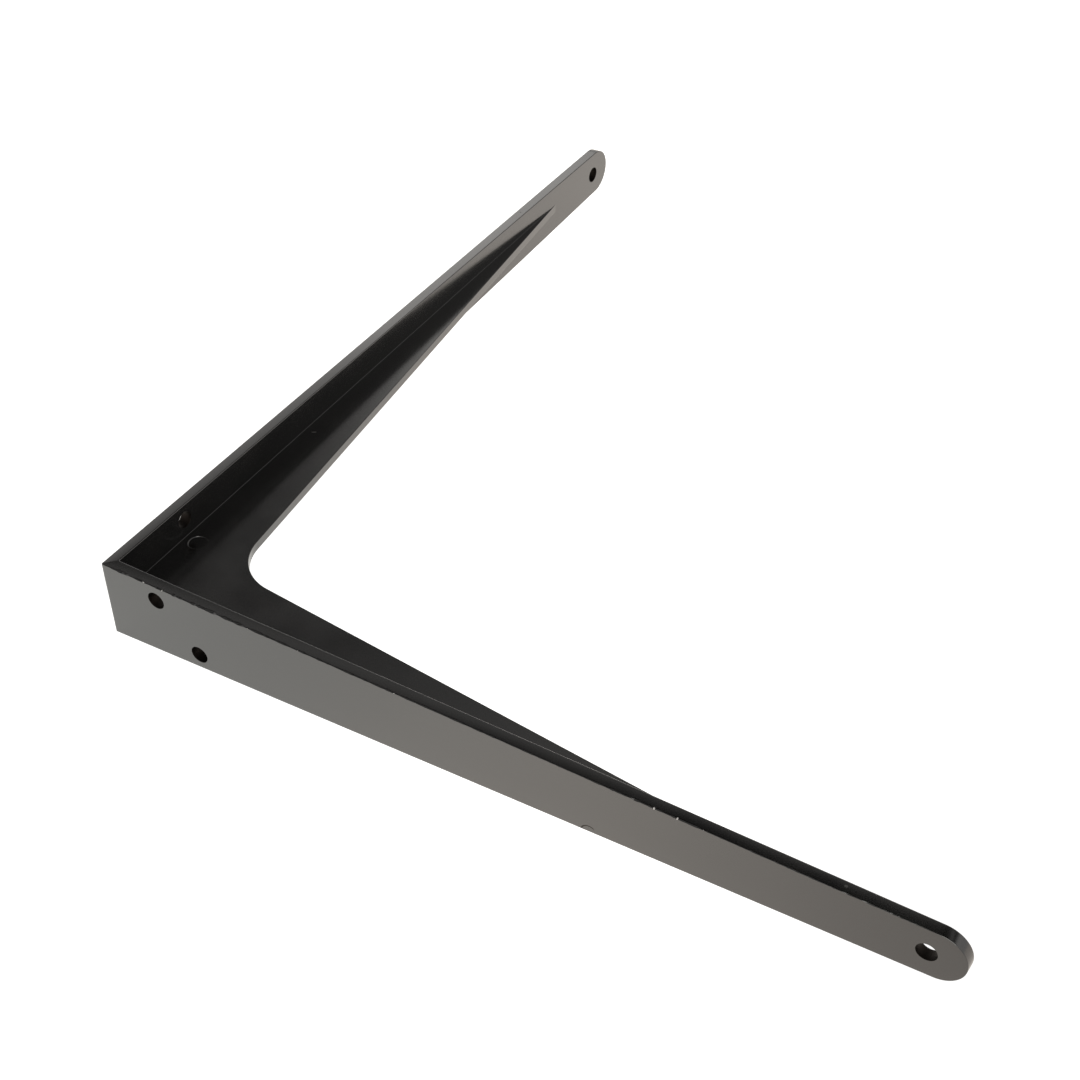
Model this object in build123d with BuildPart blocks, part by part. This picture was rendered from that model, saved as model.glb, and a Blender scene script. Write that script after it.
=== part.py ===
from build123d import *

import os

# Cast T-section shelf bracket, one piece, in millimetres.
#
# The outer corner, at mid-width, is the origin. The shelf leg runs out along +X with its seat
# face up at Z = 0. The wall leg hangs down along -Z with its back on the wall plane X = 0. The
# web stands in the plane Y = 0, in the angle between the two legs.

# legs
shelf_reach = 200.0  # outer corner to the rounded end of the shelf leg
wall_drop = 220.0  # outer corner to the rounded end of the wall leg
corner_width = 20.3  # width of both legs at the corner
tip_radius = 6.25  # half round that closes each leg's end
leg_thickness = 2.75

# web
web_thickness = 2.2
web_depth_below_shelf = 17.25  # shelf leg's inner face to the web's inner corner
web_depth_from_wall = 16.25  # wall leg's inner face to the web's inner corner
shelf_web_stop = 21.9  # shelf leg's end back to the point where the web dies away
wall_web_stop = 31.0  # wall leg's end back to the point where the web dies away
web_corner_radius = 13.0

# screw holes, in the same pattern on both legs
hole_diameter = 4.3
near_hole_reach = 14.5  # from the outer corner, on one side of the web
far_hole_reach = 24.5  # from the outer corner, on the other side of the web
hole_side_step = 5.7  # from the web's middle plane
tip_hole_inset = 8.0  # from the leg's end

# casting radii
root_radius = 0.3  # where the web meets the legs
inner_corner_radius = 0.5  # where the legs' inner faces meet
leg_edge_radius = 0.3  # around the inner face of each leg
web_edge_radius = 0.2  # along the web's free edge

# mark that the die's ejector pin leaves on one side of the web
ejector_mark_diameter = 4.4
ejector_mark_depth = 0.15
ejector_mark_drop = 23.6  # below the shelf leg's seat face
ejector_mark_reach = 4.0  # from the wall leg's inner face

# Each leg is drawn on its outer face, with local X running from the corner to the tip and the
# normal pointing out of the bracket. Seen from outside, both legs then carry the same holes.
shelf_face = Plane(origin=(0, 0, 0), x_dir=(1, 0, 0), z_dir=(0, 0, 1))
wall_face = Plane(origin=(0, 0, 0), x_dir=(0, 0, -1), z_dir=(-1, 0, 0))
legs = ((shelf_face, shelf_reach), (wall_face, wall_drop))

# The web's inner corner before it is rounded, in X and Z.
web_corner = (
    leg_thickness + web_depth_from_wall,
    -(leg_thickness + web_depth_below_shelf),
)


def leg_outline(length):
    """A strip that narrows from the corner's full width to a rounded end."""
    corner = (0, corner_width / 2)
    with BuildSketch(mode=Mode.PRIVATE) as outline:
        with BuildLine() as half:
            tip = CenterArc((length - tip_radius, 0), tip_radius, 0, 360, mode=Mode.PRIVATE)
            ConstrainedLines(tip, corner, selector=lambda lines: lines.sort_by(Axis.Y)[-1])
            tangent = half.vertices().sort_by(Axis.X)[-1]
            RadiusArc(tangent, (length, 0), tip_radius)
            Line(corner, (0, 0))
            mirror(about=Plane.XZ)
        make_face()
    return outline.sketch


def sunk_end(web_end, corner_distance, corner_depth):
    """Carry the web's straight free edge past its visible end, to the leg's mid-thickness."""
    slope = corner_depth / (web_end - corner_distance)
    return web_end + leg_thickness / 2 / slope


def web_outline():
    """The web's side view: two straight free edges that meet in a rounded inner corner."""
    shelf_end = sunk_end(shelf_reach - shelf_web_stop, web_corner[0], web_depth_below_shelf)
    wall_end = sunk_end(wall_drop - wall_web_stop, -web_corner[1], web_depth_from_wall)
    with BuildSketch(mode=Mode.PRIVATE) as outline:
        with BuildLine():
            Polyline(
                (0, 0),
                (shelf_end, -leg_thickness / 2),
                web_corner,
                (leg_thickness / 2, -wall_end),
                close=True,
            )
        make_face()
        inner = outline.vertices().sort_by_distance((*web_corner, 0))[0]
        fillet(inner, radius=web_corner_radius)
    return outline.sketch


def root_profile():
    """The section of the web's foot on a leg, with a concave radius on each side."""
    radius_centre = web_thickness / 2 + root_radius
    with BuildSketch(mode=Mode.PRIVATE) as profile:
        with Locations((0, -leg_thickness / 2)):
            Rectangle(
                2 * radius_centre,
                leg_thickness / 2 + root_radius,
                align=(Align.CENTER, Align.MAX),
            )
        with Locations(*((s * radius_centre, -leg_thickness - root_radius) for s in (-1, 1))):
            Circle(root_radius, mode=Mode.SUBTRACT)
    return profile.sketch


def leg(face, length):
    """One leg: the strip, with its inner rim rounded and its outer rim left sharp."""
    with BuildPart(mode=Mode.PRIVATE) as plate:
        with BuildSketch(face):
            add(leg_outline(length))
        extrude(amount=-leg_thickness)
        inner_face = plate.faces().sort_by(Axis(face.origin, face.z_dir))[0]
        rim = inner_face.edges().sort_by_distance(face.origin)[1:]
        fillet(rim, radius=leg_edge_radius)
    return plate.part


with BuildPart() as roots:
    for face, length in legs:
        with BuildSketch(Plane(origin=face.origin, x_dir=face.y_dir, z_dir=face.x_dir)):
            add(root_profile())
        extrude(amount=length - tip_radius)
    with BuildSketch(Plane.XZ):
        add(web_outline())
    extrude(amount=web_thickness / 2 + root_radius, both=True, mode=Mode.INTERSECT)

with BuildPart() as web:
    with BuildSketch(Plane.XZ):
        add(web_outline())
    extrude(amount=web_thickness / 2, both=True)
    away_from_corner = Vector(1, 0, -1)
    free_faces = web.faces().filter_by(lambda face: face.normal_at().dot(away_from_corner) > 0.1)
    fillet(free_faces.edges().filter_by(Axis.Y, reverse=True), radius=web_edge_radius)
    with BuildSketch(Plane.XZ.offset(-web_thickness / 2)):
        with Locations((leg_thickness + ejector_mark_reach, -ejector_mark_drop)):
            Circle(ejector_mark_diameter / 2)
    extrude(amount=ejector_mark_depth, mode=Mode.SUBTRACT)

with BuildPart() as bracket:
    for face, length in legs:
        add(leg(face, length))
    inner_corner = (
        bracket.edges()
        .filter_by(Axis.Y)
        .sort_by_distance((leg_thickness, 0, -leg_thickness))[0]
    )
    fillet(inner_corner, radius=inner_corner_radius)
    add(web.part)
    add(roots.part)
    for face, length in legs:
        with Locations(face):
            with Locations(
                (near_hole_reach, hole_side_step),
                (far_hole_reach, -hole_side_step),
                (length - tip_hole_inset, 0),
            ):
                Hole(hole_diameter / 2, depth=leg_thickness)

bracket.part.label = "bracket"

os.makedirs("parts", exist_ok=True)
export_step(bracket.part, "parts/bracket.step")
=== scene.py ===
import math

import bmesh
import bpy
import numpy as np
from mathutils import Matrix, Vector


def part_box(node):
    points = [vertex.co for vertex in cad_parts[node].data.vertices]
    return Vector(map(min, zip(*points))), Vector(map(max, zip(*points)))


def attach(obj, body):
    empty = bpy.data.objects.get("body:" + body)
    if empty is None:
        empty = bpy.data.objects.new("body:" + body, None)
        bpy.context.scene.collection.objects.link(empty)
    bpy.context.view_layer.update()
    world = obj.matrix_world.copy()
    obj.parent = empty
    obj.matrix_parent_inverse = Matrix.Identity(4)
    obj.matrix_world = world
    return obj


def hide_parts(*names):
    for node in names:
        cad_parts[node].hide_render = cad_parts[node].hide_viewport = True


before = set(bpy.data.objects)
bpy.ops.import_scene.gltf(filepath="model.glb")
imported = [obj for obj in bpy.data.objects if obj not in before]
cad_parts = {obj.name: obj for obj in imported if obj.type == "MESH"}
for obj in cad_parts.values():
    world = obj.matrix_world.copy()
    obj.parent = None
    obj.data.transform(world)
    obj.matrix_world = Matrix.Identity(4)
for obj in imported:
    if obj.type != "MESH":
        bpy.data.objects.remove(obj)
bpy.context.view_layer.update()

# Cast T-section shelf bracket with satin black paint, in metres. The shelf leg runs along +X with
# its seat face up, the wall leg hangs along -Z with its back on X = 0, and the web stands in the
# plane Y = 0. The bracket lies on its side: its -Y rims rest on the floor.
#
# A leg is worked out in coordinates of its own: s runs along the leg from the outer corner, y runs
# across it, and d is the depth behind the leg's outer face. An array of points ends in (s, y, d).

MM = 0.001

# ---- sizes from the frame -------------------------------------------------------------------
low_corner, high_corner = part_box("bracket")
SHELF_REACH = high_corner.x
WALL_DROP = -low_corner.z
CORNER_HALF_WIDTH = high_corner.y

# ---- sizes of the casting -------------------------------------------------------------------
TIP_RADIUS = 6.25 * MM
LEG_THICKNESS = 2.75 * MM
WEB_HALF_THICKNESS = 1.1 * MM
WEB_DEPTH_BELOW_SHELF = 17.25 * MM
WEB_DEPTH_FROM_WALL = 16.25 * MM
SHELF_WEB_STOP = 21.9 * MM
WALL_WEB_STOP = 29.5 * MM
WEB_CORNER_RADIUS = 13.0 * MM
HOLE_RADIUS = 2.15 * MM
NEAR_HOLE_REACH = 14.5 * MM
FAR_HOLE_REACH = 24.5 * MM
HOLE_SIDE_STEP = 5.7 * MM
TIP_HOLE_INSET = 8.0 * MM
ROOT_RADIUS = 0.09 * MM
INNER_CORNER_RADIUS = 0.5 * MM
LEG_EDGE_RADIUS = 0.18 * MM
WEB_EDGE_RADIUS = 0.12 * MM
OUTER_CORNER_RADIUS = 0.3 * MM
HOLE_EDGE_RADIUS = 0.04 * MM
HOLE_DRAFT = 0.1 * MM

# ---- edges of the legs ----------------------------------------------------------------------
# The side faces are bowed by a hair. They stand proudest at a share of the leg's thickness in from
# the outer face, here just past the inner face, and fall back with the squared distance from it.
SIDE_CROWN = 0.08 * MM
SIDE_TOP = 1.1

# The outer rim is cut off at a slope. The cut is given by shares of its width, across the outer
# face and down the side. The flash was trimmed by hand along one rim of the shelf leg, so the cut
# there is ragged, and deepest by the corner and again about two thirds of the way out. It is
# also nicked down to bare metal. The reaches are measured along the rim from the corner.
RIM_ACROSS = np.array([1, 0.93, 0.7, 0.4, 0.12, 0])
RIM_DOWN = np.array([0, 0.06, 0.4, 0.8, 1.2, 1.4])
CRISP_RIM = 0.06 * MM
RAGGED_RIM = 0.36 * MM
RAGGED_REACHES = np.array([0, 1.5, 42, 50, 122, 132, 150, 157, 188, 194]) * MM
RAGGED_DEPTHS = np.array([0, 1, 1, 0.5, 0.4, 0.8, 0.4, 0.45, 0.4, 0])
RAGGED_STEP = 2.0 * MM
RAGGED_SEED = 3
RAGGED_FROM = 0.3  # value of the ragged line where the cut starts to widen
RAGGED_SPAN = 0.45  # rise in the ragged line from a crisp rim to a full cut
NICK_REACHES = np.array([11.7, 16.9, 39.9, 52.5, 76.5, 136.1, 141.0, 146.7, 189.6]) * MM
NICK_LENGTH = 0.5 * MM

# ---- ejector pin's mark on the web's +Y side, by its place on the wall leg ------------------
PIN_MARK_REACH = 23.6 * MM
PIN_MARK_DEPTH_IN_LEG = 6.5 * MM
PIN_MARK_RADIUS = 2.2 * MM
PIN_MARK_SINK = 0.15 * MM
PIN_MARK_LIP = 0.06  # width of the sloping lip, as a share of the radius

# ---- mesh fineness --------------------------------------------------------------------------
STATION_STEP = 0.5 * MM
TIP_PATCH_LENGTH = 13.0 * MM
PATCH_MARGIN = 1.6 * MM
PIN_PATCH_LEAD = 2.0 * MM  # how much earlier the mark's patch starts, as the stations lean there
PIN_PATCH_TRIM = 1.0 * MM  # how much less of the margin it takes towards the web's free edge
OUTER_MARGIN = 0.75 * MM
SUPPORT = 0.08 * MM
MOST_SUPPORT_SHARE = 0.09  # of the web's height, so that support stays outside WEB_SHARES
WELD = 0.008 * MM
COLLAPSE = WELD / 10
QUARTER_TURN = np.radians([18, 36, 54, 72, 90])

# Rows of points from a patch's outline to the circle in it, and over the floor of the pin's mark.
HOLE_RING_SHARES = (0, 0.35, 0.7, 0.97, 1)
PIN_RING_SHARES = (0, 0.5, 0.95, 1)
PIN_FLOOR_SHARES = np.array([0.9, 0.6, 0.3, 0])
S_D_Y = [0, 2, 1]  # swaps a point's y and d


def between(start, end, share):
    """Values that part way from start to end: start + (end - start) * share."""
    return start + (end - start) * share


def smooth_step(value):
    """0 below 0, 1 above 1, and 3v^2 - 2v^3 between them."""
    value = np.clip(value, 0, 1)
    return value * value * (3 - 2 * value)


def ragged_line(length, knot_step, seed, octaves=4, fade=0.75):
    """A ragged value from 0 to 1 for any distance along an edge.

    It is a sum of random values at even knots, joined by smooth steps. Each octave halves the
    step between knots and weighs less than the one before, by the fade.
    """
    random = np.random.default_rng(seed)
    layers = []
    for octave in range(octaves):
        knots = random.random(int(length / knot_step * 2**octave) + 3)
        layers.append((knot_step / 2**octave, fade**octave, knots))
    total_weight = sum(weight for _, weight, _ in layers)

    def value(distance):
        total = 0
        for step, weight, knots in layers:
            place = np.clip(distance, 0, length) / step
            index = np.floor(place).astype(int)
            share = smooth_step(place - index)
            total = total + weight * between(knots[index], knots[index + 1], share)
        return total / total_weight

    return value


def points(s, y, d):
    """One array of points from three arrays that share a shape or broadcast to it."""
    return np.stack(np.broadcast_arrays(s, y, d), axis=-1)


class Skin:
    """Collects grids of points, and the four-sided faces between neighbours in them."""

    def __init__(self):
        self.points = []
        self.faces = []
        self.bare = []
        self.in_hole = []
        self.count = 0

    def add(self, grid, bare=0.0, in_hole=0.0, closed=False, keep=None):
        """Adds a grid. A closed grid joins its last column to its first, and keep picks faces."""
        rows, columns = grid.shape[:2]
        index = self.count + np.arange(rows * columns).reshape(rows, columns)
        if closed:
            index = np.concatenate([index, index[:, :1]], axis=1)
        quads = np.stack([index[:-1, :-1], index[1:, :-1], index[1:, 1:], index[:-1, 1:]], axis=-1)
        self.faces.append(quads[keep] if keep is not None else quads.reshape(-1, 4))
        self.points.append(grid.reshape(-1, 3))
        self.bare.append(np.broadcast_to(bare, (rows, columns)).reshape(-1))
        self.in_hole.append(np.broadcast_to(in_hole, (rows, columns)).reshape(-1))
        self.count += rows * columns


class Leg:
    """One leg in its own coordinates: its taper, its ragged rim and the web's free edge."""

    def __init__(self, length, web_depth, other_web_depth, web_end, other_web_end, place, trimmed):
        self.length = length
        self.place = place
        self.tip_centre = length - TIP_RADIUS
        self.taper = math.acos(
            TIP_RADIUS / math.hypot(CORNER_HALF_WIDTH, self.tip_centre)
        ) - math.atan2(self.tip_centre, CORNER_HALF_WIDTH)
        self.cut = length - TIP_PATCH_LENGTH
        self.web_end = web_end

        corner = np.array([LEG_THICKNESS + other_web_depth, LEG_THICKNESS + web_depth])
        along = np.array([web_end, LEG_THICKNESS]) - corner
        across = np.array([LEG_THICKNESS, other_web_end]) - corner
        along = along / np.linalg.norm(along)
        across = across / np.linalg.norm(across)
        middle = (along + across) / np.linalg.norm(along + across)
        half_angle = math.acos(along @ across) / 2
        edge_normal = np.array([-along[1], along[0]])
        self.arc_centre = corner + middle * WEB_CORNER_RADIUS / math.sin(half_angle)
        self.arc_start = math.atan2(-middle[1], -middle[0]) % (2 * math.pi)
        self.arc_end = math.atan2(-edge_normal[1], -edge_normal[0]) % (2 * math.pi)
        self.straight_start = (self.arc_centre - edge_normal * WEB_CORNER_RADIUS)[0]
        self.edge_slope = along[1] / along[0]

        self.straight_rim = self.tip_centre + TIP_RADIUS * math.sin(self.taper)
        self.rim_length = 2 * self.straight_rim + TIP_RADIUS * (math.pi - 2 * self.taper)
        self.trimmed = trimmed
        self.rim_shape = ragged_line(self.rim_length, RAGGED_STEP, seed=RAGGED_SEED)

    def half_width(self, s):
        """Half the leg's width: a straight line from the corner that touches the tip's circle."""
        return CORNER_HALF_WIDTH - s * math.tan(self.taper)

    def rim_cut(self, distance):
        """How far the outer rim's cut reaches across the outer face, at a distance round the rim.

        It is even on a crisp rim. On a trimmed one it follows a ragged line, which is scaled by
        how deep the trimming went there.
        """
        if not self.trimmed:
            return CRISP_RIM + 0 * distance
        ragged = smooth_step((self.rim_shape(distance) - RAGGED_FROM) / RAGGED_SPAN)
        depth = np.interp(distance, RAGGED_REACHES, RAGGED_DEPTHS)
        return between(CRISP_RIM, RAGGED_RIM, ragged * depth)

    def nick(self, distance):
        """1 where the trimmed rim is nicked down to bare metal, falling to 0 around each nick."""
        if not self.trimmed:
            return 0 * distance
        away = np.abs(distance[:, None] - NICK_REACHES).min(axis=1)
        return 1 - smooth_step(away / NICK_LENGTH)

    def free_edge(self, foot, first_foot):
        """The web's free edge opposite each foot point, with its normal away from the web.

        From the bracket's middle it is half of the corner's arc, swept evenly as the foot point
        moves, and then the straight line down to the leg's inner face.
        """
        share = np.clip((foot - first_foot) / (self.straight_start - first_foot), 0, 1)
        angle = between(self.arc_start, self.arc_end, share)
        normal = -np.stack([np.cos(angle), np.sin(angle)], axis=-1)
        edge = self.arc_centre - normal * WEB_CORNER_RADIUS
        straight_depth = LEG_THICKNESS + np.maximum(self.web_end - foot, 0) * -self.edge_slope
        on_line = foot > self.straight_start
        edge[on_line] = np.stack([foot, straight_depth], axis=-1)[on_line]
        past_web = foot >= self.web_end
        normal[past_web] = (0, 1)
        return edge, normal


class Stations:
    """The places along a leg where its section is taken, as points in s and d.

    The first ones fan out from the mitre with the other leg: the outer point goes round the outer
    corner and the inner point round the inner corner. The rest stand square to the leg.
    """

    MITRE = 45  # degrees
    FAN = 8  # steps from the mitre to the first square station
    OUTER_ARC = 2  # how many of them go round the outer corner

    def __init__(self, leg):
        fan_end = LEG_THICKNESS + INNER_CORNER_RADIUS
        steps = int(math.ceil((leg.cut - fan_end) / STATION_STEP))
        straight = np.linspace(fan_end, leg.cut, steps + 1)[1:]
        zeros = np.zeros_like(straight)

        inner_turn = np.radians(np.linspace(self.MITRE, 0, self.FAN + 1))
        outer_turn = np.radians(np.linspace(self.MITRE, 0, self.OUTER_ARC + 1))
        outer_run = np.linspace(OUTER_CORNER_RADIUS, fan_end, self.FAN - self.OUTER_ARC + 1)[1:]

        inner_s = np.concatenate([fan_end - INNER_CORNER_RADIUS * np.sin(inner_turn), straight])
        inner_d = np.concatenate(
            [fan_end - INNER_CORNER_RADIUS * np.cos(inner_turn), zeros + LEG_THICKNESS]
        )
        inner_angle = np.concatenate([inner_turn, zeros])
        outer_s = np.concatenate(
            [OUTER_CORNER_RADIUS * (1 - np.sin(outer_turn)), outer_run, straight]
        )
        outer_d = np.concatenate(
            [OUTER_CORNER_RADIUS * (1 - np.cos(outer_turn)), 0 * outer_run, zeros]
        )
        outer_angle = np.concatenate([outer_turn, 0 * outer_run, zeros])

        self.outer = np.stack([outer_s, outer_d], axis=-1)
        self.outer_inward = np.stack([np.sin(outer_angle), np.cos(outer_angle)], axis=-1)
        self.inner = np.stack([inner_s, inner_d], axis=-1)
        self.inner_outward = np.stack([np.sin(inner_angle), np.cos(inner_angle)], axis=-1)
        self.edge, self.edge_outward = leg.free_edge(inner_s, inner_s[0])
        self.web_height = np.linalg.norm(self.edge - self.inner, axis=-1)


# Columns of a half section, from the middle of the outer face round to the middle of the web's
# free edge. The shares place the columns across the flat parts. A group's name gives the index
# of its last column, and a block is the pair of columns that a hole's patch is let in between.
OUTER_SHARES = np.array([0, 0.07, 0.13, 0.2, 0.33, 0.47, 0.6, 0.74])
SIDE_SHARES = np.array([0.05, 0.35, 0.65, 0.95])
FLAT_SHARES = np.array([0.17, 0.33, 0.5, 0.67, 0.83])
WEB_SHARES = np.array([0.1, 0.22, 0.36, 0.5, 0.64, 0.8])
OUTER_END = len(OUTER_SHARES) + 2
OUTER_BLOCK = (3, OUTER_END - 1)
RIM_END = OUTER_END + len(RIM_ACROSS) - 1
SIDE_END = RIM_END + len(SIDE_SHARES)
INNER_RIM = SIDE_END + 1 + len(QUARTER_TURN)
INNER_BLOCK = (INNER_RIM + 1, INNER_RIM + 2 + len(FLAT_SHARES))
FOOT = INNER_BLOCK[1] + 1
ROOT_TOP = FOOT + len(QUARTER_TURN)
WEB_BLOCK_START = ROOT_TOP + 1
WEB_END = ROOT_TOP + 3 + len(WEB_SHARES)
EDGE_END = WEB_END + len(QUARTER_TURN)


def edge_section(rim):
    """Insets and depths of points down a leg's edge, for each size of the outer rim's cut.

    They run over the cut, the side and the quarter round of the inner rim. Squared distance from
    the crown's top, times the crown, is added to each inset.
    """
    turn = np.concatenate([[0], QUARTER_TURN])
    cut_depth = rim * RIM_DOWN
    inner_depth = LEG_THICKNESS - LEG_EDGE_RADIUS * (1 - np.sin(turn)) + 0 * rim
    side_depth = between(cut_depth[:, -1:], inner_depth[:, :1], SIDE_SHARES)
    inner_inset = LEG_EDGE_RADIUS * (1 - np.cos(turn)) + 0 * rim
    inset = np.concatenate([rim * RIM_ACROSS, 0 * side_depth, inner_inset], axis=1)
    depth = np.concatenate([cut_depth, side_depth, inner_depth], axis=1)
    return inset + SIDE_CROWN * (depth / LEG_THICKNESS - SIDE_TOP) ** 2, depth


def half_section(leg, stations, side):
    """The half sections on one side of the web, as a grid of stations by columns.

    Each column is a point of the section, which is the same curve at every station: outer face,
    rim, side, inner rounding, inner face, root radius, web face and free edge. The web's
    radii shrink with its height where it dies away.
    """
    outer_width = leg.half_width(stations.outer[:, 0])[:, None]
    inner_width = leg.half_width(stations.inner[:, 0])[:, None]
    distance = stations.outer[:, 0] if side > 0 else leg.rim_length - stations.outer[:, 0]
    rim = leg.rim_cut(distance)[:, None]
    inset, depth = edge_section(rim)

    def inner_columns(across, height):
        """Points at a place across the leg and at a height over the inner face."""
        place = stations.inner[:, None] + stations.inner_outward[:, None] * height[..., None]
        return points(place[..., 0], across, place[..., 1])

    zero = 0 * rim
    across = np.concatenate(
        [
            outer_width * OUTER_SHARES,
            outer_width - OUTER_MARGIN,
            outer_width - inset[:, :1] - SUPPORT,
        ],
        axis=1,
    )
    outer_face = points(stations.outer[:, :1], across, stations.outer[:, 1:])

    cut_depth = depth[:, : len(RIM_ACROSS), None]
    cut_place = stations.outer[:, None] + stations.outer_inward[:, None] * cut_depth
    depth_left = (LEG_THICKNESS - depth[:, -1 - len(QUARTER_TURN) :])[..., None]
    inner_place = stations.inner[:, None] - stations.inner_outward[:, None] * depth_left
    side_place = between(cut_place[:, -1:], inner_place[:, :1], SIDE_SHARES[:, None])
    place = np.concatenate([cut_place, side_place, inner_place], axis=1)
    edge_face = points(place[..., 0], leg.half_width(place[..., 0]) - inset, place[..., 1])

    thin = np.minimum(stations.web_height[:, None] / (ROOT_RADIUS + WEB_EDGE_RADIUS), 1)
    root = ROOT_RADIUS * thin
    rounding = WEB_EDGE_RADIUS * thin
    foot = WEB_HALF_THICKNESS + root
    flat_start = inner_width - LEG_EDGE_RADIUS - SUPPORT
    flat_end = foot + SUPPORT
    inner_face = inner_columns(
        np.concatenate(
            [flat_start, between(flat_start, flat_end, FLAT_SHARES), flat_end, foot], axis=1
        ),
        zero,
    )
    root_curve = inner_columns(
        foot - root * np.sin(QUARTER_TURN), root * (1 - np.cos(QUARTER_TURN))
    )

    web_start = stations.inner + stations.inner_outward * root
    web_stop = stations.edge - stations.edge_outward * rounding
    span = np.linalg.norm(web_stop - web_start, axis=-1)[:, None]
    close = np.minimum(SUPPORT / np.maximum(span, SUPPORT), MOST_SUPPORT_SHARE)
    shares = np.concatenate([close, zero + WEB_SHARES, 1 - close, zero + 1], axis=1)
    web_plane = between(web_start[:, None], web_stop[:, None], shares[..., None])
    web_face = points(web_plane[..., 0], WEB_HALF_THICKNESS, web_plane[..., 1])

    edge_back = rounding * (1 - np.sin(QUARTER_TURN))
    edge_plane = stations.edge[:, None] - stations.edge_outward[:, None] * edge_back[..., None]
    edge_rounding = points(
        edge_plane[..., 0],
        WEB_HALF_THICKNESS - rounding * (1 - np.cos(QUARTER_TURN)),
        edge_plane[..., 1],
    )
    top_across = np.concatenate([WEB_HALF_THICKNESS - rounding - SUPPORT, zero], axis=1)
    top = points(stations.edge[:, :1], top_across, stations.edge[:, 1:])

    half = np.concatenate(
        [outer_face, edge_face, inner_face, root_curve, web_face, edge_rounding, top], axis=1
    )
    half[..., 1] *= side

    bare = np.zeros(half.shape[:2])
    bare[:, OUTER_END:RIM_END] = leg.nick(distance)[:, None]
    return half, bare


def block_loop(grid, rows, columns):
    """The closed line of grid points round a block, given its first and last row and column."""
    first_row, last_row = rows
    first, last = columns
    step = 1 if last > first else -1
    across = np.arange(first, last, step)
    down = np.arange(first_row, last_row)
    return np.concatenate(
        [
            grid[down, first],
            grid[last_row, across],
            grid[down[::-1] + 1, last],
            grid[first_row, across[::-1] + step],
        ]
    )


def rings(loop, centre, radius, shares):
    """Rows of points from a closed loop to a circle inside it, along straight rays.

    Each loop point keeps its own angle about the centre, and the rows lie at the given shares of
    the way in.
    """
    offset = loop[:, :2] - centre
    angle = np.arctan2(offset[:, 1], offset[:, 0])
    circle = centre + radius * np.stack([np.cos(angle), np.sin(angle)], axis=-1)
    rows = between(loop[None, :, :2], circle[None], np.asarray(shares)[:, None, None])
    depth = np.broadcast_to(loop[None, :, 2:], rows.shape[:2] + (1,))
    return np.concatenate([rows, depth], axis=-1), angle


def screw_hole(skin, leg, outer_loop, inner_loop, centre):
    """A hole through a leg, from a loop on the outer face to the loop opposite on the inner one.

    Rows of points go in to the hole's rounded edge, through the wall and out again. The wall
    narrows evenly from both faces to the middle of the leg's thickness, by the draft.
    """
    mouth = HOLE_RADIUS + HOLE_EDGE_RADIUS
    outer, outer_angle = rings(outer_loop, centre, mouth, HOLE_RING_SHARES)
    inner, inner_angle = rings(inner_loop, centre, mouth, HOLE_RING_SHARES)
    twist = (inner_angle - outer_angle + math.pi) % (2 * math.pi) - math.pi

    turn = QUARTER_TURN[:, None]
    near_radius = mouth - HOLE_EDGE_RADIUS * np.sin(turn)
    near_depth = HOLE_EDGE_RADIUS * (1 - np.cos(turn))
    wall_depth = np.concatenate([near_depth, LEG_THICKNESS - near_depth[::-1]])
    narrowing = HOLE_DRAFT * (1 - np.abs(2 * wall_depth / LEG_THICKNESS - 1))
    wall_radius = np.concatenate([near_radius, near_radius[::-1]]) - narrowing
    angle = outer_angle + twist * smooth_step(wall_depth / LEG_THICKNESS)
    wall_s = centre[0] + wall_radius * np.cos(angle)
    wall_y = centre[1] + wall_radius * np.sin(angle)
    wall = points(wall_s, wall_y, wall_depth)
    in_hole = np.repeat([0.0, 1.0, 0.0], [len(outer), len(wall), len(inner)])
    whole = np.concatenate([outer, wall, inner[::-1]])
    skin.add(leg.place(whole), in_hole=in_hole[:, None], closed=True)


def pin_mark(skin, leg, loop, centre, side):
    """A shallow round mark sunk into the web, from a loop on the web's face to its flat floor.

    Down the lip, the sink grows with the squared sine of the quarter turn.
    """
    edge = PIN_MARK_RADIUS * PIN_MARK_LIP
    face, angle = rings(loop[:, S_D_Y], centre, PIN_MARK_RADIUS + edge, PIN_RING_SHARES)
    turn = QUARTER_TURN[:, None]
    lip = PIN_MARK_RADIUS + edge * np.cos(turn)
    lip_sink = PIN_MARK_SINK * np.sin(turn) ** 2
    floor = PIN_MARK_RADIUS * PIN_FLOOR_SHARES[:, None]
    radius = np.concatenate([lip, floor])
    sink = np.concatenate([lip_sink, 0 * floor + PIN_MARK_SINK])
    dish = points(
        centre[0] + radius * np.cos(angle),
        centre[1] + radius * np.sin(angle),
        side * (WEB_HALF_THICKNESS - sink),
    )
    skin.add(leg.place(np.concatenate([face, dish])[..., S_D_Y]), closed=True)


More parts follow.
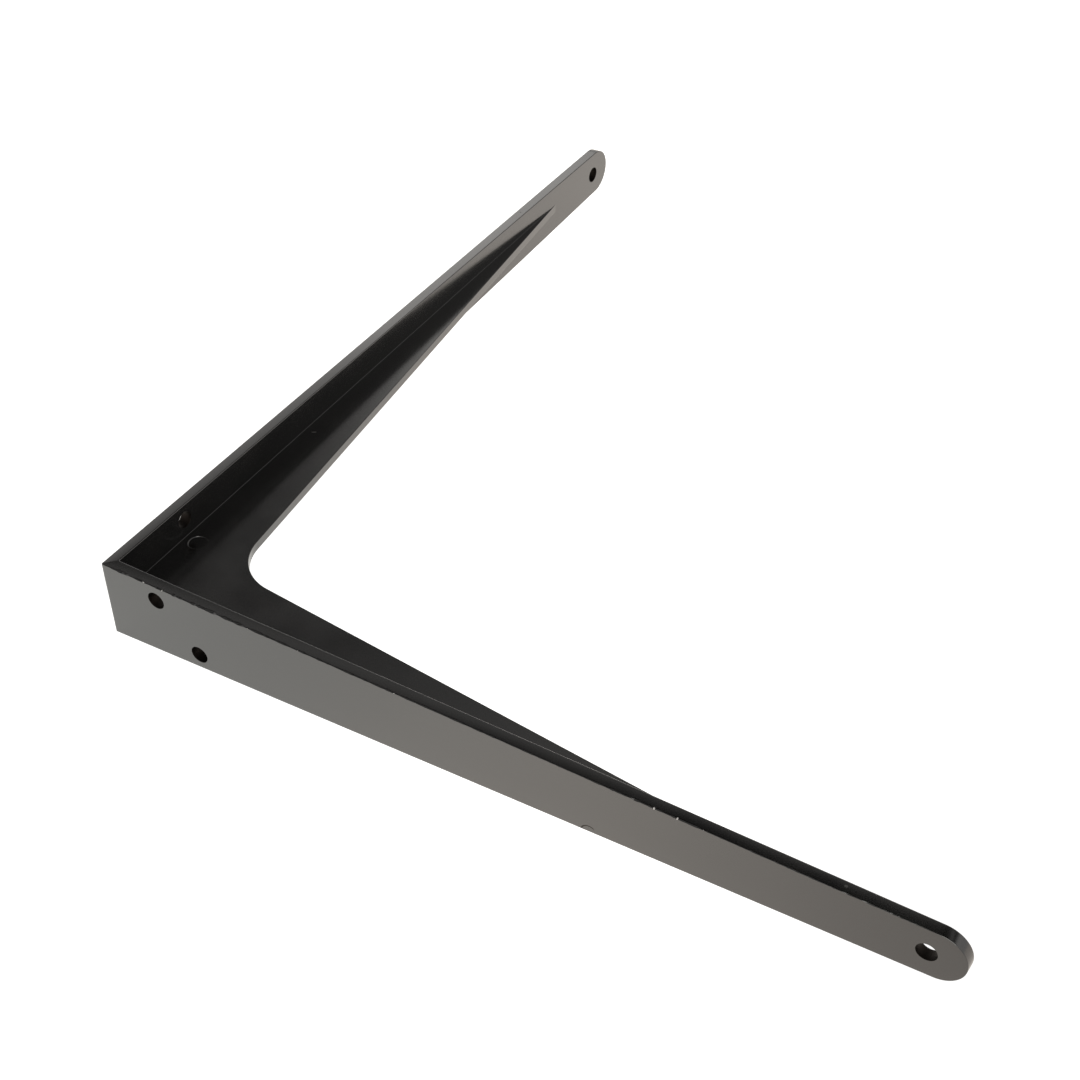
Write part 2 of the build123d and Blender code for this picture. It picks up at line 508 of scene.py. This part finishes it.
def tip_rim(leg, first, last):
    """The rim's section carried round the leg's end, from the last station back to itself.

    The path is the straight side, the half round and the other straight side. A point's inset is
    measured square to the leg on the straight runs and towards the circle's centre on the round.
    """
    run = np.linspace(leg.cut, leg.straight_rim, int((leg.straight_rim - leg.cut) / STATION_STEP))
    turns = int(math.pi * TIP_RADIUS / STATION_STEP)
    swing = np.linspace(math.pi / 2 - leg.taper, leg.taper - math.pi / 2, turns)
    run = run[1:-1]

    path_s = np.concatenate([run, leg.tip_centre + TIP_RADIUS * np.cos(swing), run[::-1]])
    path_y = np.concatenate(
        [leg.half_width(run), TIP_RADIUS * np.sin(swing), -leg.half_width(run[::-1])]
    )
    normal_s = np.concatenate([0 * run, np.cos(swing), 0 * run])
    normal_y = np.concatenate([0 * run + 1, np.sin(swing), 0 * run - 1])
    round_distance = leg.straight_rim + TIP_RADIUS * (swing[0] - swing)
    distance = np.concatenate([run, round_distance, leg.rim_length - run[::-1]])

    inset, depth = edge_section(leg.rim_cut(distance)[:, None])
    inset = np.concatenate([inset[:, :1] + SUPPORT, inset, inset[:, -1:] + SUPPORT], axis=1)
    depth = np.concatenate([depth[:, :1], depth, depth[:, -1:]], axis=1)
    body = points(
        path_s[:, None] - normal_s[:, None] * inset,
        path_y[:, None] - normal_y[:, None] * inset,
        depth,
    )
    bare = np.zeros(body.shape[:2])
    bare[:, 1 : RIM_END - OUTER_END + 1] = leg.nick(distance)[:, None]
    columns = slice(OUTER_END - 1, INNER_RIM + 2)
    grid = np.concatenate([first[None, columns], body, last[None, columns]])
    bare = np.concatenate([0 * bare[:1], bare, 0 * bare[:1]])
    return grid, bare


def build_leg(skin, leg, near_side, pin_marked):
    """Adds one leg and its share of the web to the skin, with its holes and its pin mark.

    The near side, 1 or -1, is the side of the web on which the hole nearer the corner lies.
    """
    stations = Stations(leg)
    halves = {}
    bares = {}
    for side in (1, -1):
        halves[side], bares[side] = half_section(leg, stations, side)
    inner_s = stations.inner[:, 0]
    section = np.concatenate([halves[1], halves[-1][:, -2:0:-1]], axis=1)
    section_bare = np.concatenate([bares[1], bares[-1][:, -2:0:-1]], axis=1)
    keep = np.ones((len(section) - 1, section.shape[1]), bool)

    def drop(rows, columns, side):
        """Leaves out the faces of a block, which a patch then fills."""
        first, last = sorted(columns)
        if side < 0:
            first, last = section.shape[1] - last, section.shape[1] - first
        keep[rows[0] : rows[1], first:last] = False

    for reach, side in ((NEAR_HOLE_REACH, near_side), (FAR_HOLE_REACH, -near_side)):
        margin = HOLE_RADIUS + PATCH_MARGIN
        rows = tuple(np.searchsorted(inner_s, [reach - margin, reach + margin]))
        drop(rows, OUTER_BLOCK, side)
        drop(rows, INNER_BLOCK, side)
        outer_loop = block_loop(halves[side], rows, OUTER_BLOCK)
        inner_loop = block_loop(halves[side], rows, INNER_BLOCK[::-1])
        screw_hole(skin, leg, outer_loop, inner_loop, np.array([reach, side * HOLE_SIDE_STEP]))

    if pin_marked:
        side = 1
        margin = PIN_MARK_RADIUS + PATCH_MARGIN
        ends = [PIN_MARK_REACH - margin - PIN_PATCH_LEAD, PIN_MARK_REACH + margin]
        rows = tuple(np.searchsorted(inner_s, ends))
        depths = halves[side][rows[0] : rows[1], WEB_BLOCK_START:WEB_END, 2].min(axis=0)
        clear = depths > PIN_MARK_DEPTH_IN_LEG + margin - PIN_PATCH_TRIM
        columns = (WEB_BLOCK_START, WEB_BLOCK_START + int(np.argmax(clear)))
        drop(rows, columns, side)
        loop = block_loop(halves[side], rows, columns)
        pin_mark(skin, leg, loop, np.array([PIN_MARK_REACH, PIN_MARK_DEPTH_IN_LEG]), side)

    skin.add(leg.place(section), section_bare, closed=True, keep=keep)

    last_plus = halves[1][-1]
    last_minus = halves[-1][-1]
    rim, rim_bare = tip_rim(leg, last_plus, last_minus)
    skin.add(leg.place(rim), rim_bare)
    flat = list(range(INNER_RIM + 1, FOOT + 1)) + [EDGE_END + 1, EDGE_END + 2]
    outer_row = np.concatenate([last_plus[OUTER_END - 1 : 0 : -1], last_minus[:OUTER_END]])
    inner_row = np.concatenate([last_plus[flat], last_minus[flat[-2::-1]]])
    outer_loop = np.concatenate([outer_row, rim[-2:0:-1, 0]])
    inner_loop = np.concatenate([inner_row, rim[-2:0:-1, -1]])
    screw_hole(skin, leg, outer_loop, inner_loop, np.array([leg.length - TIP_HOLE_INSET, 0]))


def shelf_place(local):
    """Row-frame points of the shelf leg's s, y and d: x = s, z = -d."""
    return np.stack([local[..., 0], local[..., 1], -local[..., 2]], axis=-1)


def wall_place(local):
    """Row-frame points of the wall leg's s, y and d: x = d, z = -s."""
    return np.stack([local[..., 2], local[..., 1], -local[..., 0]], axis=-1)


def casting_mesh():
    """The whole bracket as one closed mesh, with values at its points for nicks and holes."""
    shelf_web_end = SHELF_REACH - SHELF_WEB_STOP
    wall_web_end = WALL_DROP - WALL_WEB_STOP
    shelf_leg = Leg(
        SHELF_REACH, WEB_DEPTH_BELOW_SHELF, WEB_DEPTH_FROM_WALL, shelf_web_end, wall_web_end,
        shelf_place, trimmed=True,
    )
    wall_leg = Leg(
        WALL_DROP, WEB_DEPTH_FROM_WALL, WEB_DEPTH_BELOW_SHELF, wall_web_end, shelf_web_end,
        wall_place, trimmed=False,
    )
    skin = Skin()
    build_leg(skin, shelf_leg, near_side=1, pin_marked=False)
    build_leg(skin, wall_leg, near_side=-1, pin_marked=True)

    mesh = bpy.data.meshes.new("bracket_casting")
    mesh.from_pydata(np.concatenate(skin.points), [], np.concatenate(skin.faces))
    for name, values in (("bare_metal", skin.bare), ("in_hole", skin.in_hole)):
        layer = mesh.attributes.new(name, "FLOAT", "POINT")
        layer.data.foreach_set("value", np.concatenate(values).astype(np.float32))

    shell = bmesh.new()
    shell.from_mesh(mesh)
    bmesh.ops.remove_doubles(shell, verts=shell.verts, dist=WELD)
    bmesh.ops.dissolve_degenerate(shell, edges=shell.edges, dist=COLLAPSE)
    loose = [vertex for vertex in shell.verts if not vertex.link_faces]
    bmesh.ops.delete(shell, geom=loose, context="VERTS")
    bmesh.ops.recalc_face_normals(shell, faces=shell.faces)
    shell.to_mesh(mesh)
    shell.free()
    mesh.shade_smooth()
    return mesh


casting = bpy.data.objects.new("bracket_casting", casting_mesh())
bpy.context.scene.collection.objects.link(casting)
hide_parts("bracket")
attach(casting, "root")


# ---- nodes ----------------------------------------------------------------------------------
SPOT_SOLID = 0.45  # share of a spot's half sizes within which its mask is 1


def add_node(tree, kind, settings=None, **inputs):
    """One node of a shader tree. An input is a number, a colour or another node's output.

    An input is named by its socket, with _ for a space, or by _ and the socket's number.
    """
    node = tree.nodes.new("ShaderNode" + kind)
    for name, value in (settings or {}).items():
        setattr(node, name, value)
    for name, value in inputs.items():
        key = int(name[1:]) if name[1:].isdigit() else name.replace("_", " ")
        socket = node.inputs[key]
        if isinstance(value, bpy.types.NodeSocket):
            tree.links.new(value, socket)
        else:
            socket.default_value = value
    return node


def math_node(tree, operation, first, second=0.0):
    """The output of a Math node."""
    return add_node(tree, "Math", {"operation": operation}, _0=first, _1=second).outputs[0]


def mix(tree, factor, first, second):
    """A colour that goes from the first to the second as the factor goes from 0 to 1."""
    return add_node(
        tree, "Mix", {"data_type": "RGBA"}, Factor=factor, _6=first, _7=second
    ).outputs[2]


def length_of(tree, vector):
    """The length of a vector."""
    return add_node(tree, "VectorMath", {"operation": "LENGTH"}, _0=vector).outputs["Value"]


def ramp(tree, value, low, high, low_result=0.0, high_result=1.0):
    """A value that goes from one result to the other between low and high, by a smooth step."""
    return add_node(
        tree, "MapRange", {"interpolation_type": "SMOOTHSTEP"},
        Value=value, From_Min=low, From_Max=high, To_Min=low_result, To_Max=high_result,
    ).outputs[0]


def noise(tree, place, scale, detail=2.0, roughness=0.5):
    """A noise value from 0 to 1, with about as many features to the metre as the scale says."""
    return add_node(
        tree, "TexNoise", Vector=place, Scale=scale, Detail=detail, Roughness=roughness
    ).outputs["Fac"]


def spot(tree, place, centre, half_sizes, turn=0.0):
    """A mask that is 1 well inside an ellipsoid and fades to 0 at its surface.

    The ellipsoid is turned about Y, and the mask is worked out from the distance to its centre
    in units of its half sizes.
    """
    local = add_node(
        tree, "Mapping", {"vector_type": "TEXTURE"},
        Vector=place, Location=centre, Rotation=(0, turn, 0), Scale=half_sizes,
    ).outputs[0]
    return ramp(tree, length_of(tree, local), 1.0, SPOT_SOLID)


# ---- satin black paint ----------------------------------------------------------------------
PAINT_BLACK = (0.003, 0.003, 0.003, 1)
PAINT_DUSTY = (0.005, 0.0048, 0.0045, 1)
PAINT_INDEX = 1.8
PAINT_SMOOTH = 0.17
PAINT_ROUGH = 0.21
# A dark metal for the arch, and for painted shade in the holes.
HOLE_SHADE_AND_DARK_MARK = (0.016, 0.013, 0.011, 1)
HOLE_SHADE_AND_DARK_MARK_ROUGH = 0.5
BARE_ALUMINIUM = (0.72, 0.71, 0.69, 1)
MARK_ROUGH = 0.45

# noise, in features to the metre, and where its values turn into dust, dull gloss and nicks
PEEL_SCALE = 700
GRAIN_SCALE = 3500
PATCH_SCALE = 45
DUST_RANGE = (0.35, 0.7)
DULL_RANGE = (0.45, 0.85)
DULL_GRAIN = 0.3
NICK_RANGE = (0.62, 0.74)
NICK_GRAIN = 0.8

# relief, in units of the peel's height
RELIEF_STRENGTH = 0.12
PEEL_HEIGHT = 0.012 * MM
GRAIN_HEIGHT = 0.06
ARCH_SINK = 3.0
PIT_SINK = 6.0

# A light scuff on the web, painted lighter partly as a highlight on the edge of a dent.
SCUFF_AND_HIGHLIGHT_PLACE = (5.2 * MM, WEB_HALF_THICKNESS, -70.2 * MM)
SCUFF_AND_HIGHLIGHT_SIZE = (0.85 * MM, 0.3 * MM, 0.16 * MM)
SCUFF_AND_HIGHLIGHT_TURN = math.radians(30)
SPECK_SCUFF_AND_HIGHLIGHT_STRENGTH = 0.16
PIT_PLACE = (1.3 * MM, 6.9 * MM, -173.9 * MM)
PIT_SIZE = (0.35 * MM, 0.6 * MM, 0.35 * MM)
ARCH_PLACE = (121.9 * MM, -7.8 * MM, 0.0)
ARCH_RADIUS = 1.8 * MM
ARCH_WIDTH = 0.25 * MM
ARCH_STOP = (1.3 * MM, 0.8 * MM)  # where it breaks off, from nothing to whole
SPECK_PLACE = (175.0 * MM, 6.9 * MM, -1.5 * MM)
SPECK_SIZE = (0.5 * MM, 2.0 * MM, 0.4 * MM)
SPECK_SHARE = 0.5


def broken_arch(tree, place):
    """A mask for a thin ring, by the distance from its radius, cut off on its +X side."""
    offset = add_node(
        tree, "VectorMath", {"operation": "SUBTRACT"}, _0=place, _1=ARCH_PLACE
    ).outputs[0]
    from_radius = math_node(tree, "SUBTRACT", length_of(tree, offset), ARCH_RADIUS)
    ring = ramp(tree, math_node(tree, "ABSOLUTE", from_radius), ARCH_WIDTH, 0.0)
    along = add_node(tree, "SeparateXYZ", Vector=offset).outputs["X"]
    return math_node(tree, "MULTIPLY", ring, ramp(tree, along, *ARCH_STOP))


def satin_black_paint():
    """Satin black paint: faint orange peel, uneven gloss, painted shade in holes, handling marks.

    The colour goes from black to dusty with the patches, and the roughness goes up with the
    patches and a share of the grain. The relief is the peel and a share of the grain, less the
    arch and the pit.

    The marks are bare nicks from the mesh's own attribute, a light scuff on the web, a speck and
    a pit in the legs' sides and a broken arch pressed into the shelf leg's outer face. The scuff's
    lighter colour is partly a painted highlight on the edge of a dent. The arch and the holes are
    set as a dark metal, which throws back less light than the paint on the faces; in the holes
    this is painted shade.
    """
    material = bpy.data.materials.new("satin_black_paint")
    material.use_nodes = True
    tree = material.node_tree
    shader = tree.nodes["Principled BSDF"]
    place = add_node(tree, "TexCoord").outputs["Object"]

    peel = noise(tree, place, PEEL_SCALE, detail=1.0)
    grain = noise(tree, place, GRAIN_SCALE, detail=2.0)
    patches = noise(tree, place, PATCH_SCALE, detail=3.0, roughness=0.6)
    nick = add_node(tree, "Attribute", {"attribute_name": "bare_metal"}).outputs["Fac"]
    broken = math_node(tree, "MULTIPLY", math_node(tree, "SUBTRACT", grain, 0.5), NICK_GRAIN)
    bare = ramp(tree, math_node(tree, "ADD", nick, broken), *NICK_RANGE)
    # The scuff's lighter colour is partly a painted highlight; the speck is a light mark.
    scuff_and_highlight = spot(tree, place, SCUFF_AND_HIGHLIGHT_PLACE, SCUFF_AND_HIGHLIGHT_SIZE, SCUFF_AND_HIGHLIGHT_TURN)
    speck = spot(tree, place, SPECK_PLACE, SPECK_SIZE)
    pit = spot(tree, place, PIT_PLACE, PIT_SIZE)
    arch = broken_arch(tree, place)

    dusty = mix(tree, ramp(tree, patches, *DUST_RANGE), PAINT_BLACK, PAINT_DUSTY)
    faint_speck = math_node(tree, "MULTIPLY", speck, SPECK_SHARE)
    speck_scuff_and_highlight = math_node(tree, "MAXIMUM", scuff_and_highlight, faint_speck)
    speck_scuff_and_highlight_share = math_node(tree, "MULTIPLY", speck_scuff_and_highlight, SPECK_SCUFF_AND_HIGHLIGHT_STRENGTH)
    speck_scuff_and_highlight_colour = mix(tree, speck_scuff_and_highlight_share, dusty, BARE_ALUMINIUM)
    nicked = mix(tree, bare, speck_scuff_and_highlight_colour, BARE_ALUMINIUM)
    # Painted shade in the holes, together with the arch: both are set as a dark metal.
    in_hole = add_node(tree, "Attribute", {"attribute_name": "in_hole"}).outputs["Fac"]
    thin = math_node(tree, "MAXIMUM", in_hole, arch)
    colour = mix(tree, thin, nicked, HOLE_SHADE_AND_DARK_MARK)

    uneven = math_node(tree, "ADD", patches, math_node(tree, "MULTIPLY", grain, DULL_GRAIN))
    roughness = ramp(tree, uneven, *DULL_RANGE, PAINT_SMOOTH, PAINT_ROUGH)
    marked = math_node(tree, "MAXIMUM", pit, bare)
    for mask, mask_rough in ((marked, MARK_ROUGH), (thin, HOLE_SHADE_AND_DARK_MARK_ROUGH)):
        rougher = math_node(tree, "MULTIPLY", mask, mask_rough)
        roughness = math_node(tree, "MAXIMUM", roughness, rougher)

    height = math_node(tree, "ADD", peel, math_node(tree, "MULTIPLY", grain, GRAIN_HEIGHT))
    arch_sunk = math_node(tree, "MULTIPLY", arch, ARCH_SINK)
    sunk = math_node(tree, "ADD", arch_sunk, math_node(tree, "MULTIPLY", pit, PIT_SINK))
    height = math_node(tree, "SUBTRACT", height, sunk)
    relief = add_node(
        tree, "Bump", Height=height, Strength=RELIEF_STRENGTH, Distance=PEEL_HEIGHT
    )

    tree.links.new(colour, shader.inputs["Base Color"])
    tree.links.new(roughness, shader.inputs["Roughness"])
    tree.links.new(math_node(tree, "MAXIMUM", bare, thin), shader.inputs["Metallic"])
    tree.links.new(relief.outputs[0], shader.inputs["Normal"])
    shader.inputs["IOR"].default_value = PAINT_INDEX
    return material


casting.data.materials.append(satin_black_paint())


# ---- camera ---------------------------------------------------------------------------------
CAMERA_PLACE = Vector((0.24466, 0.28196, 0.21555))
CAMERA_AIM = Vector((0.07288, 0.0, -0.06377))
CAMERA_LENS = 63.47
CAMERA_ROLL = math.radians(1.348)
SENSOR_WIDTH = 36
CLIP_START = 0.01

away_from_floor = Vector((0, 1, 0))
view = (CAMERA_AIM - CAMERA_PLACE).normalized()
right = view.cross(away_from_floor).normalized()
up = right.cross(view)
turned = Matrix.Rotation(CAMERA_ROLL, 3, view)
right = turned @ right
up = turned @ up
camera = bpy.data.objects.new("camera", bpy.data.cameras.new("camera"))
camera.data.lens = CAMERA_LENS
camera.data.sensor_width = SENSOR_WIDTH
camera.data.clip_start = CLIP_START
facing = Matrix((right, up, -view)).transposed().to_4x4()
camera.matrix_world = Matrix.Translation(CAMERA_PLACE) @ facing
bpy.context.scene.collection.objects.link(camera)
bpy.context.scene.camera = camera


# ---- floor ----------------------------------------------------------------------------------
FLOOR_HALF_SIZE = 2.0
FLOOR_WHITE = (1, 1, 1, 1)
FLOOR_COOL = (1.0, 1.0, 0.96, 1)
FLOOR_WARM = (1.0, 0.92, 0.84, 1)
FLOOR_PAINTED_LIGHT = (0.95, 0.93, 0.89, 1)
FLOOR_PAINTED_SHADE = (0.6, 0.595, 0.58, 1)
FLOOR_PAINTED_FALLOFF = (0.12, 0.117, 0.112, 1)

# Where the floor's tone changes, as painted light and shade. It is painted pale in shade by the
# corner, bright inside the angle and along the shelf leg, and dim by the shelf leg's tip. Its glow
# is painted warmer away from the corner, a tint that shows only in reflections.
BRIGHT_DOWN = (-0.02, -0.06)
BRIGHT_DOWN_SHARE = 0.75
BRIGHT_ALONG = (0.03, 0.1)
DIM_ALONG = (0.11, 0.21)
WARM_FROM_CORNER = (0.0, 0.14)

# Painted shade in the floor's glow, which no lamp casts. Behind the wall leg, it is given by where
# it starts, is full, is last full and ends.
WEB_SHADE_PLACE = (24 * MM, -CORNER_HALF_WIDTH, -6 * MM)
WEB_SHADE_SIZE = (20 * MM, 20 * MM, 5 * MM)
WALL_SHADE_X = (-18 * MM, -12 * MM, 0.5 * MM, 1.5 * MM)
WALL_SHADE_Z = (-0.6 * WALL_DROP, -0.22 * WALL_DROP, -24 * MM, -6 * MM)


def shown_rays(tree):
    """1 for the rays that show the white surroundings: from the camera and off gloss."""
    rays = add_node(tree, "LightPath").outputs
    return math_node(tree, "MAXIMUM", rays["Is Camera Ray"], rays["Is Glossy Ray"])


def stretch(tree, value, start, full, last, end):
    """1 from full to last, fading smoothly to 0 at start and at end."""
    return math_node(
        tree, "MULTIPLY", ramp(tree, value, start, full), ramp(tree, value, end, last)
    )


def floor_finish():
    """A floor that glows white to the camera, and in its own tint to glossy rays.

    Its diffuse tone is painted light and shade, which changes with X and Z, and the glow's tint,
    seen only in reflections, is painted warmer with the distance from the corner. The glow is left
    out where shade is painted on the floor: under the web by the shelf leg's screw holes, and
    along the wall leg's back. Seen from below, the floor is clear.
    """
    material = bpy.data.materials.new("white_floor")
    material.use_nodes = True
    tree = material.node_tree
    tree.nodes.clear()
    whole_place = add_node(tree, "TexCoord").outputs["Object"]
    place = add_node(tree, "SeparateXYZ", Vector=whole_place).outputs
    # The diffuse tone is painted light and shade: pale by the corner, bright inside the angle and
    # along the shelf leg, dim by the shelf leg's tip.
    in_angle = ramp(tree, place["Z"], *BRIGHT_DOWN, 0.0, BRIGHT_DOWN_SHARE)
    bright = math_node(tree, "MAXIMUM", in_angle, ramp(tree, place["X"], *BRIGHT_ALONG))
    near = mix(tree, bright, FLOOR_PAINTED_SHADE, FLOOR_PAINTED_LIGHT)
    colour = mix(tree, ramp(tree, place["X"], *DIM_ALONG), near, FLOOR_PAINTED_FALLOFF)
    diffuse = add_node(tree, "BsdfDiffuse", Color=colour)

    # Painted shade: the glow is left out under the web and behind the wall leg.
    painted_shade_under_web = spot(tree, whole_place, WEB_SHADE_PLACE, WEB_SHADE_SIZE)
    across_shade = stretch(tree, place["X"], *WALL_SHADE_X)
    along_shade = stretch(tree, place["Z"], *WALL_SHADE_Z)
    painted_shade_behind_leg = math_node(tree, "MULTIPLY", across_shade, along_shade)
    lit = math_node(tree, "SUBTRACT", 1.0, math_node(tree, "MAXIMUM", painted_shade_under_web, painted_shade_behind_leg))
    seen = add_node(tree, "LightPath").outputs["Is Camera Ray"]
    # The glow's tint, seen only in reflections, is painted warmer away from the corner.
    warmer = ramp(tree, length_of(tree, whole_place), *WARM_FROM_CORNER)
    tint = mix(tree, warmer, FLOOR_COOL, FLOOR_WARM)
    glow_colour = mix(tree, seen, tint, FLOOR_WHITE)
    strength = math_node(tree, "MULTIPLY", shown_rays(tree), lit)
    glow = add_node(tree, "Emission", Color=glow_colour, Strength=strength)
    both = add_node(tree, "AddShader", _0=diffuse.outputs[0], _1=glow.outputs[0])
    clear = add_node(tree, "BsdfTransparent")
    behind = add_node(tree, "NewGeometry").outputs["Backfacing"]
    sides = add_node(tree, "MixShader", _0=behind, _1=both.outputs[0], _2=clear.outputs[0])
    add_node(tree, "OutputMaterial", Surface=sides.outputs[0])
    return material


def corner_points(half_size, height):
    """The corners of a square at a height along Y, in the order that turns its face to +Y."""
    signs = ((-1, -1), (-1, 1), (1, 1), (1, -1))
    return [(x * half_size, height, z * half_size) for x, z in signs]


floor_mesh = bpy.data.meshes.new("floor")
floor_mesh.from_pydata(corner_points(FLOOR_HALF_SIZE, -CORNER_HALF_WIDTH), [], [(0, 1, 2, 3)])
floor_mesh.materials.append(floor_finish())
floor = bpy.data.objects.new("floor", floor_mesh)
bpy.context.scene.collection.objects.link(floor)


# ---- light ----------------------------------------------------------------------------------
LAMP_WARMTH = (1.0, 0.975, 0.93)
BACK_LAMP_DIRECTION = (-0.42, 0.518, -0.752)

# The room's brightness by the sine of the angle above the floor: bright low down, dark above
# that, and with one pale band in the dark.
ROOM_TINT = (1.0, 0.975, 0.95)
ROOM_WHITE = (1, 1, 1, 1)
ROOM_SINES = (0.0, 0.35, 0.46, 0.53, 0.585, 0.615, 0.69, 0.72, 0.765, 0.8)
ROOM_LEVELS = (0.8, 0.9, 1.0, 1.0, 0.68, 0.0, 0.0, 0.5, 0.5, 0.0)


def studio_room():
    """A world that is white to the camera and graded by height for all other rays."""
    world = bpy.data.worlds.new("studio_room")
    world.use_nodes = True
    tree = world.node_tree
    tree.nodes.clear()
    direction = add_node(tree, "TexCoord").outputs["Generated"]
    height = add_node(tree, "SeparateXYZ", Vector=direction).outputs["Y"]
    grading = add_node(tree, "ValToRGB", Fac=height)
    stops = grading.color_ramp.elements
    while len(stops) < len(ROOM_SINES):
        stops.new(0.5)
    for stop, sine, level in zip(stops, ROOM_SINES, ROOM_LEVELS):
        stop.position = sine
        stop.color = (*(level * part for part in ROOM_TINT), 1)
    from_camera = add_node(tree, "LightPath").outputs["Is Camera Ray"]
    colour = mix(tree, from_camera, grading.outputs[0], ROOM_WHITE)
    background = add_node(tree, "Background", Color=colour)
    add_node(tree, "OutputWorld", Surface=background.outputs[0])
    return world


def soft_lamp(name, direction, distance, size, power):
    """An area lamp that faces the camera's aim from a direction, hidden from the camera."""
    lamp = bpy.data.lights.new(name, "AREA")
    lamp.shape = "RECTANGLE"
    lamp.size, lamp.size_y = size
    lamp.energy = power
    lamp.color = LAMP_WARMTH
    towards = Vector(direction).normalized()
    holder = bpy.data.objects.new(name, lamp)
    holder.matrix_world = Matrix.Translation(CAMERA_AIM + towards * distance) @ (
        towards.to_track_quat("Z", "Y").to_matrix().to_4x4()
    )
    holder.visible_camera = False
    bpy.context.scene.collection.objects.link(holder)


bpy.context.scene.world = studio_room()
soft_lamp("key_lamp", -view, distance=1.3, size=(1.0, 1.0), power=8)
soft_lamp("back_lamp", BACK_LAMP_DIRECTION, distance=1.2, size=(1.2, 0.28), power=1.0)

bpy.context.scene.view_settings.view_transform = "Standard"
